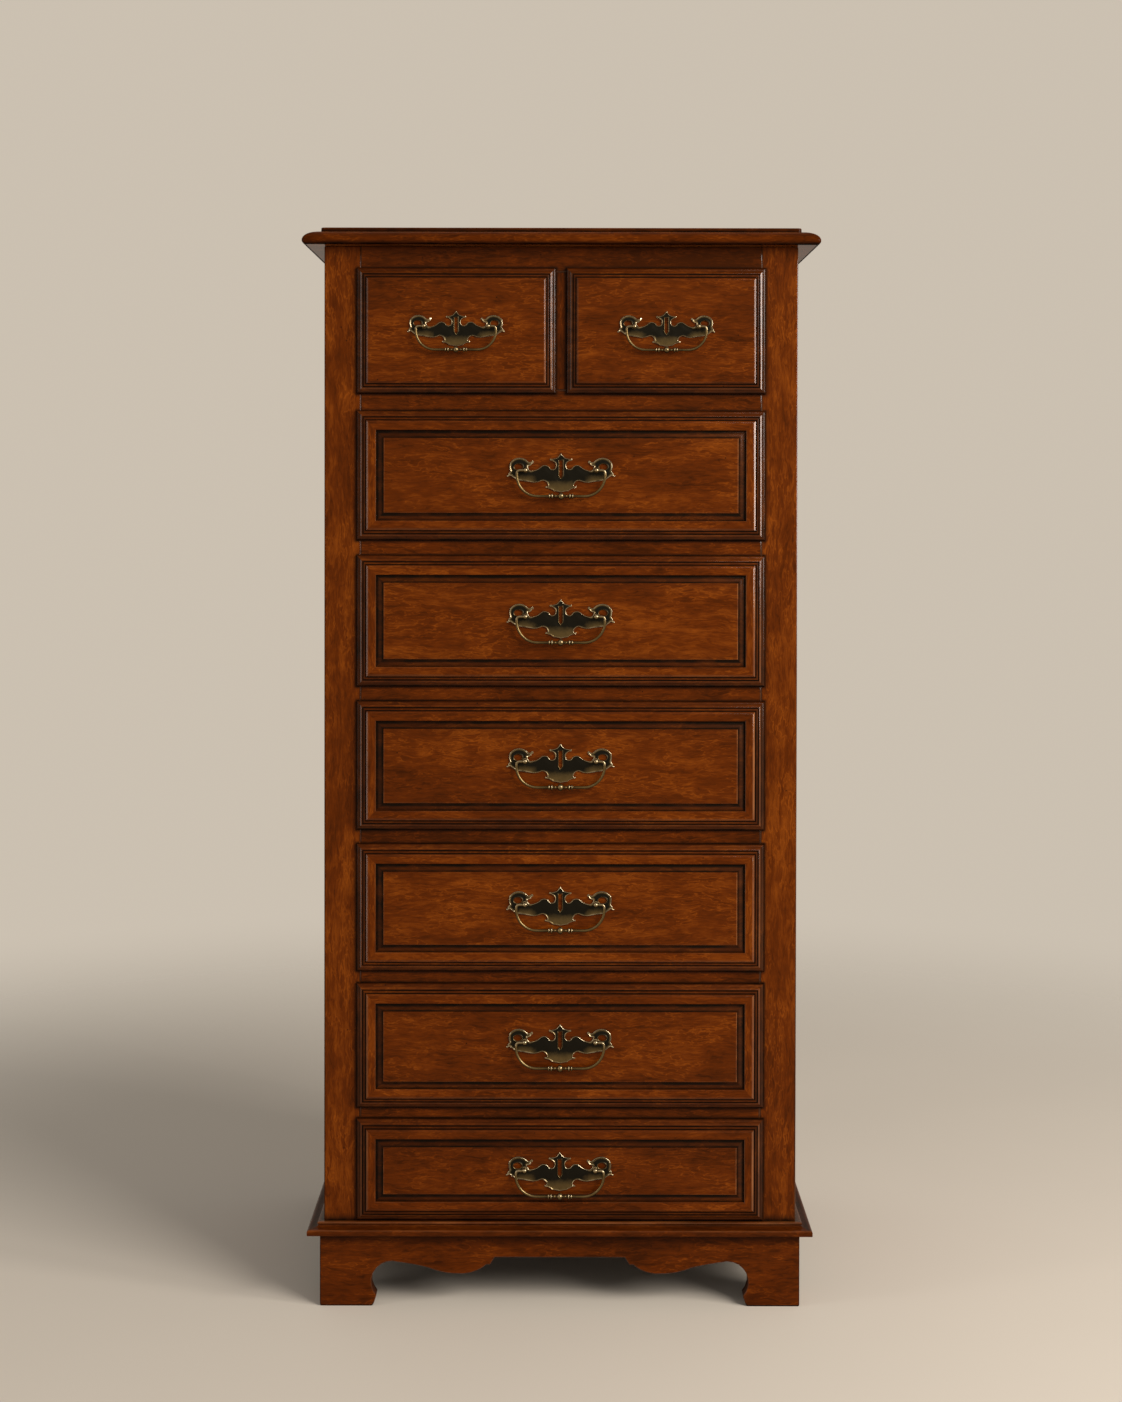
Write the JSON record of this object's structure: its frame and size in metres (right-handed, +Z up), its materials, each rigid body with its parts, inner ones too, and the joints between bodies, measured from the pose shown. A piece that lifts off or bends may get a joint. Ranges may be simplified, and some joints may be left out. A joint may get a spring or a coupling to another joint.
{
  "type": "tall chest of drawers",
  "caption": "Tall narrow wooden chest with small drawers over wide ones, moulded top and base, scroll-cut bracket feet and swinging brass bail pulls.",
  "frame": {"origin": "on the floor under the middle of the top board", "axes": "+Z up, front of the chest towards -Y, +X to the viewer's right from the front"},
  "size_m": [0.6268, 0.455, 1.315],
  "materials": {
    "stained_cherry": "red-brown stain and glaze under semi-gloss lacquer, dark in the quirks",
    "secondary_wood": "pale planed hardwood, thin sealer",
    "plywood": "sanded plywood, thin sealer",
    "antique_brass": "dark antique patina with polished edges",
    "steel": "plain zinc-plated"
  },
  "bodies": {
    "case": {"top_board": "stained_cherry", "top_cleats": "secondary_wood", "left_side_panel": "stained_cherry", "right_side_panel": "stained_cherry", "left_stile": "stained_cherry", "right_stile": "stained_cherry", "top_rail": "stained_cherry", "drawer_rails": "stained_cherry", "centre_muntin": "stained_cherry", "back_panel": "plywood", "bottom_panel": "plywood", "drawer_runners": "secondary_wood", "front_base_moulding": "stained_cherry", "side_base_mouldings": "stained_cherry", "front_apron": "stained_cherry", "left_plinth_side": "stained_cherry", "right_plinth_side": "stained_cherry", "rear_plinth": "secondary_wood", "corner_blocks": "secondary_wood", "case_fasteners": "steel"},
    "drawer_1": {"drawer_1_front": "stained_cherry", "drawer_1_box": "secondary_wood", "drawer_1_bottom": "plywood", "pull_1": "antique_brass"},
    "bail_1": {"bail_1": "antique_brass"},
    "drawer_2": {"drawer_2_front": "stained_cherry", "drawer_2_box": "secondary_wood", "drawer_2_bottom": "plywood", "pull_2": "antique_brass"},
    "bail_2": {"bail_2": "antique_brass"},
    "drawer_3": {"drawer_3_front": "stained_cherry", "drawer_3_box": "secondary_wood", "drawer_3_bottom": "plywood", "pull_3": "antique_brass"},
    "bail_3": {"bail_3": "antique_brass"},
    "drawer_4": {"drawer_4_front": "stained_cherry", "drawer_4_box": "secondary_wood", "drawer_4_bottom": "plywood", "pull_4": "antique_brass"},
    "bail_4": {"bail_4": "antique_brass"},
    "drawer_5": {"drawer_5_front": "stained_cherry", "drawer_5_box": "secondary_wood", "drawer_5_bottom": "plywood", "pull_5": "antique_brass"},
    "bail_5": {"bail_5": "antique_brass"},
    "drawer_6": {"drawer_6_front": "stained_cherry", "drawer_6_box": "secondary_wood", "drawer_6_bottom": "plywood", "pull_6": "antique_brass"},
    "bail_6": {"bail_6": "antique_brass"},
    "drawer_7": {"drawer_7_front": "stained_cherry", "drawer_7_box": "secondary_wood", "drawer_7_bottom": "plywood", "pull_7": "antique_brass"},
    "bail_7": {"bail_7": "antique_brass"},
    "drawer_8": {"drawer_8_front": "stained_cherry", "drawer_8_box": "secondary_wood", "drawer_8_bottom": "plywood", "pull_8": "antique_brass"},
    "bail_8": {"bail_8": "antique_brass"}
  },
  "joints": [
    {"name": "drawer_1_slide", "type": "slide", "parent": "case", "child": "drawer_1", "axis": [0, -1, 0], "range_m": [0, 0.3]},
    {"name": "bail_1_swing", "type": "hinge", "parent": "drawer_1", "child": "bail_1", "pos_m": [-0.12735, -0.21945, 1.19455], "axis": [-1, 0, 0], "range_deg": [-2, 165]},
    {"name": "drawer_2_slide", "type": "slide", "parent": "case", "child": "drawer_2", "axis": [0, -1, 0], "range_m": [0, 0.3]},
    {"name": "bail_2_swing", "type": "hinge", "parent": "drawer_2", "child": "bail_2", "pos_m": [0.12735, -0.21945, 1.19455], "axis": [-1, 0, 0], "range_deg": [-2, 165]},
    {"name": "drawer_3_slide", "type": "slide", "parent": "case", "child": "drawer_3", "axis": [0, -1, 0], "range_m": [0, 0.3]},
    {"name": "bail_3_swing", "type": "hinge", "parent": "drawer_3", "child": "bail_3", "pos_m": [0, -0.22, 1.02045], "axis": [-1, 0, 0], "range_deg": [-2, 165]},
    {"name": "drawer_4_slide", "type": "slide", "parent": "case", "child": "drawer_4", "axis": [0, -1, 0], "range_m": [0, 0.3]},
    {"name": "bail_4_swing", "type": "hinge", "parent": "drawer_4", "child": "bail_4", "pos_m": [0, -0.22, 0.84325], "axis": [-1, 0, 0], "range_deg": [-2, 165]},
    {"name": "drawer_5_slide", "type": "slide", "parent": "case", "child": "drawer_5", "axis": [0, -1, 0], "range_m": [0, 0.3]},
    {"name": "bail_5_swing", "type": "hinge", "parent": "drawer_5", "child": "bail_5", "pos_m": [0, -0.22, 0.66765], "axis": [-1, 0, 0], "range_deg": [-2, 165]},
    {"name": "drawer_6_slide", "type": "slide", "parent": "case", "child": "drawer_6", "axis": [0, -1, 0], "range_m": [0, 0.3]},
    {"name": "bail_6_swing", "type": "hinge", "parent": "drawer_6", "child": "bail_6", "pos_m": [0, -0.22, 0.4937], "axis": [-1, 0, 0], "range_deg": [-2, 165]},
    {"name": "drawer_7_slide", "type": "slide", "parent": "case", "child": "drawer_7", "axis": [0, -1, 0], "range_m": [0, 0.3]},
    {"name": "bail_7_swing", "type": "hinge", "parent": "drawer_7", "child": "bail_7", "pos_m": [0, -0.22, 0.32585], "axis": [-1, 0, 0], "range_deg": [-2, 165]},
    {"name": "drawer_8_slide", "type": "slide", "parent": "case", "child": "drawer_8", "axis": [0, -1, 0], "range_m": [0, 0.3]},
    {"name": "bail_8_swing", "type": "hinge", "parent": "drawer_8", "child": "bail_8", "pos_m": [0, -0.22, 0.16975], "axis": [-1, 0, 0], "range_deg": [-2, 165]}
  ]
}
